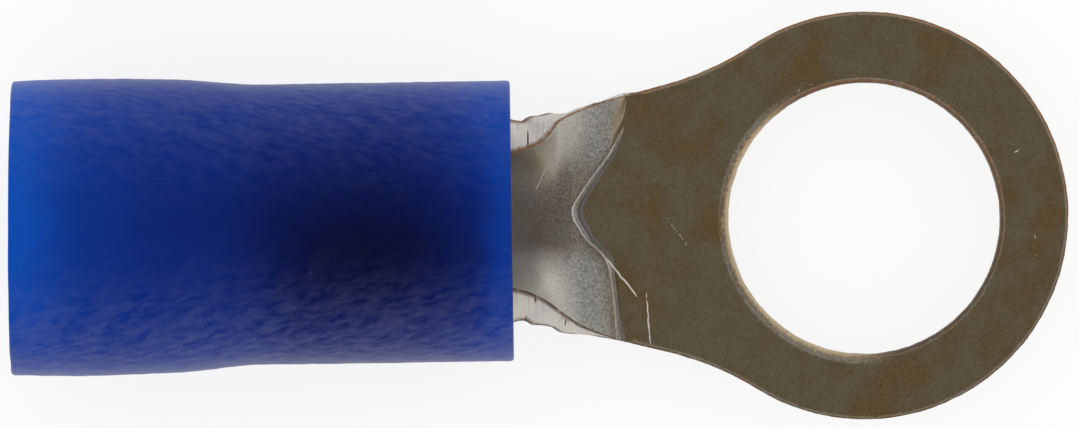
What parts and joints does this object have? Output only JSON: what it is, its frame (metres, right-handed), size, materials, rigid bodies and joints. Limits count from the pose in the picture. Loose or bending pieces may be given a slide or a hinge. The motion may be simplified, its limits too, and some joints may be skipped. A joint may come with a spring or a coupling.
{
  "type": "ring terminal",
  "caption": "Insulated ring terminal: a flat ring tongue and rolled wire barrel stamped from one tinned copper sheet, with a blue vinyl sleeve over the barrel.",
  "frame": {"origin": "centre of the stud hole on the tongue's underside, the contact face", "axes": "+X from the wire barrel out past the ring, +Y across the tongue, +Z from the contact face up to the side with the barrel's seam"},
  "size_m": [0.0207, 0.008, 0.0058],
  "materials": {
    "tinned_copper": "dull tin plate on copper sheet, bare copper at the sheared edges",
    "blue_vinyl": "slightly translucent soft vinyl with a fine wavy skin"
  },
  "bodies": {
    "root": {"terminal": "tinned_copper", "insulating_sleeve": "blue_vinyl"}
  },
  "joints": []
}
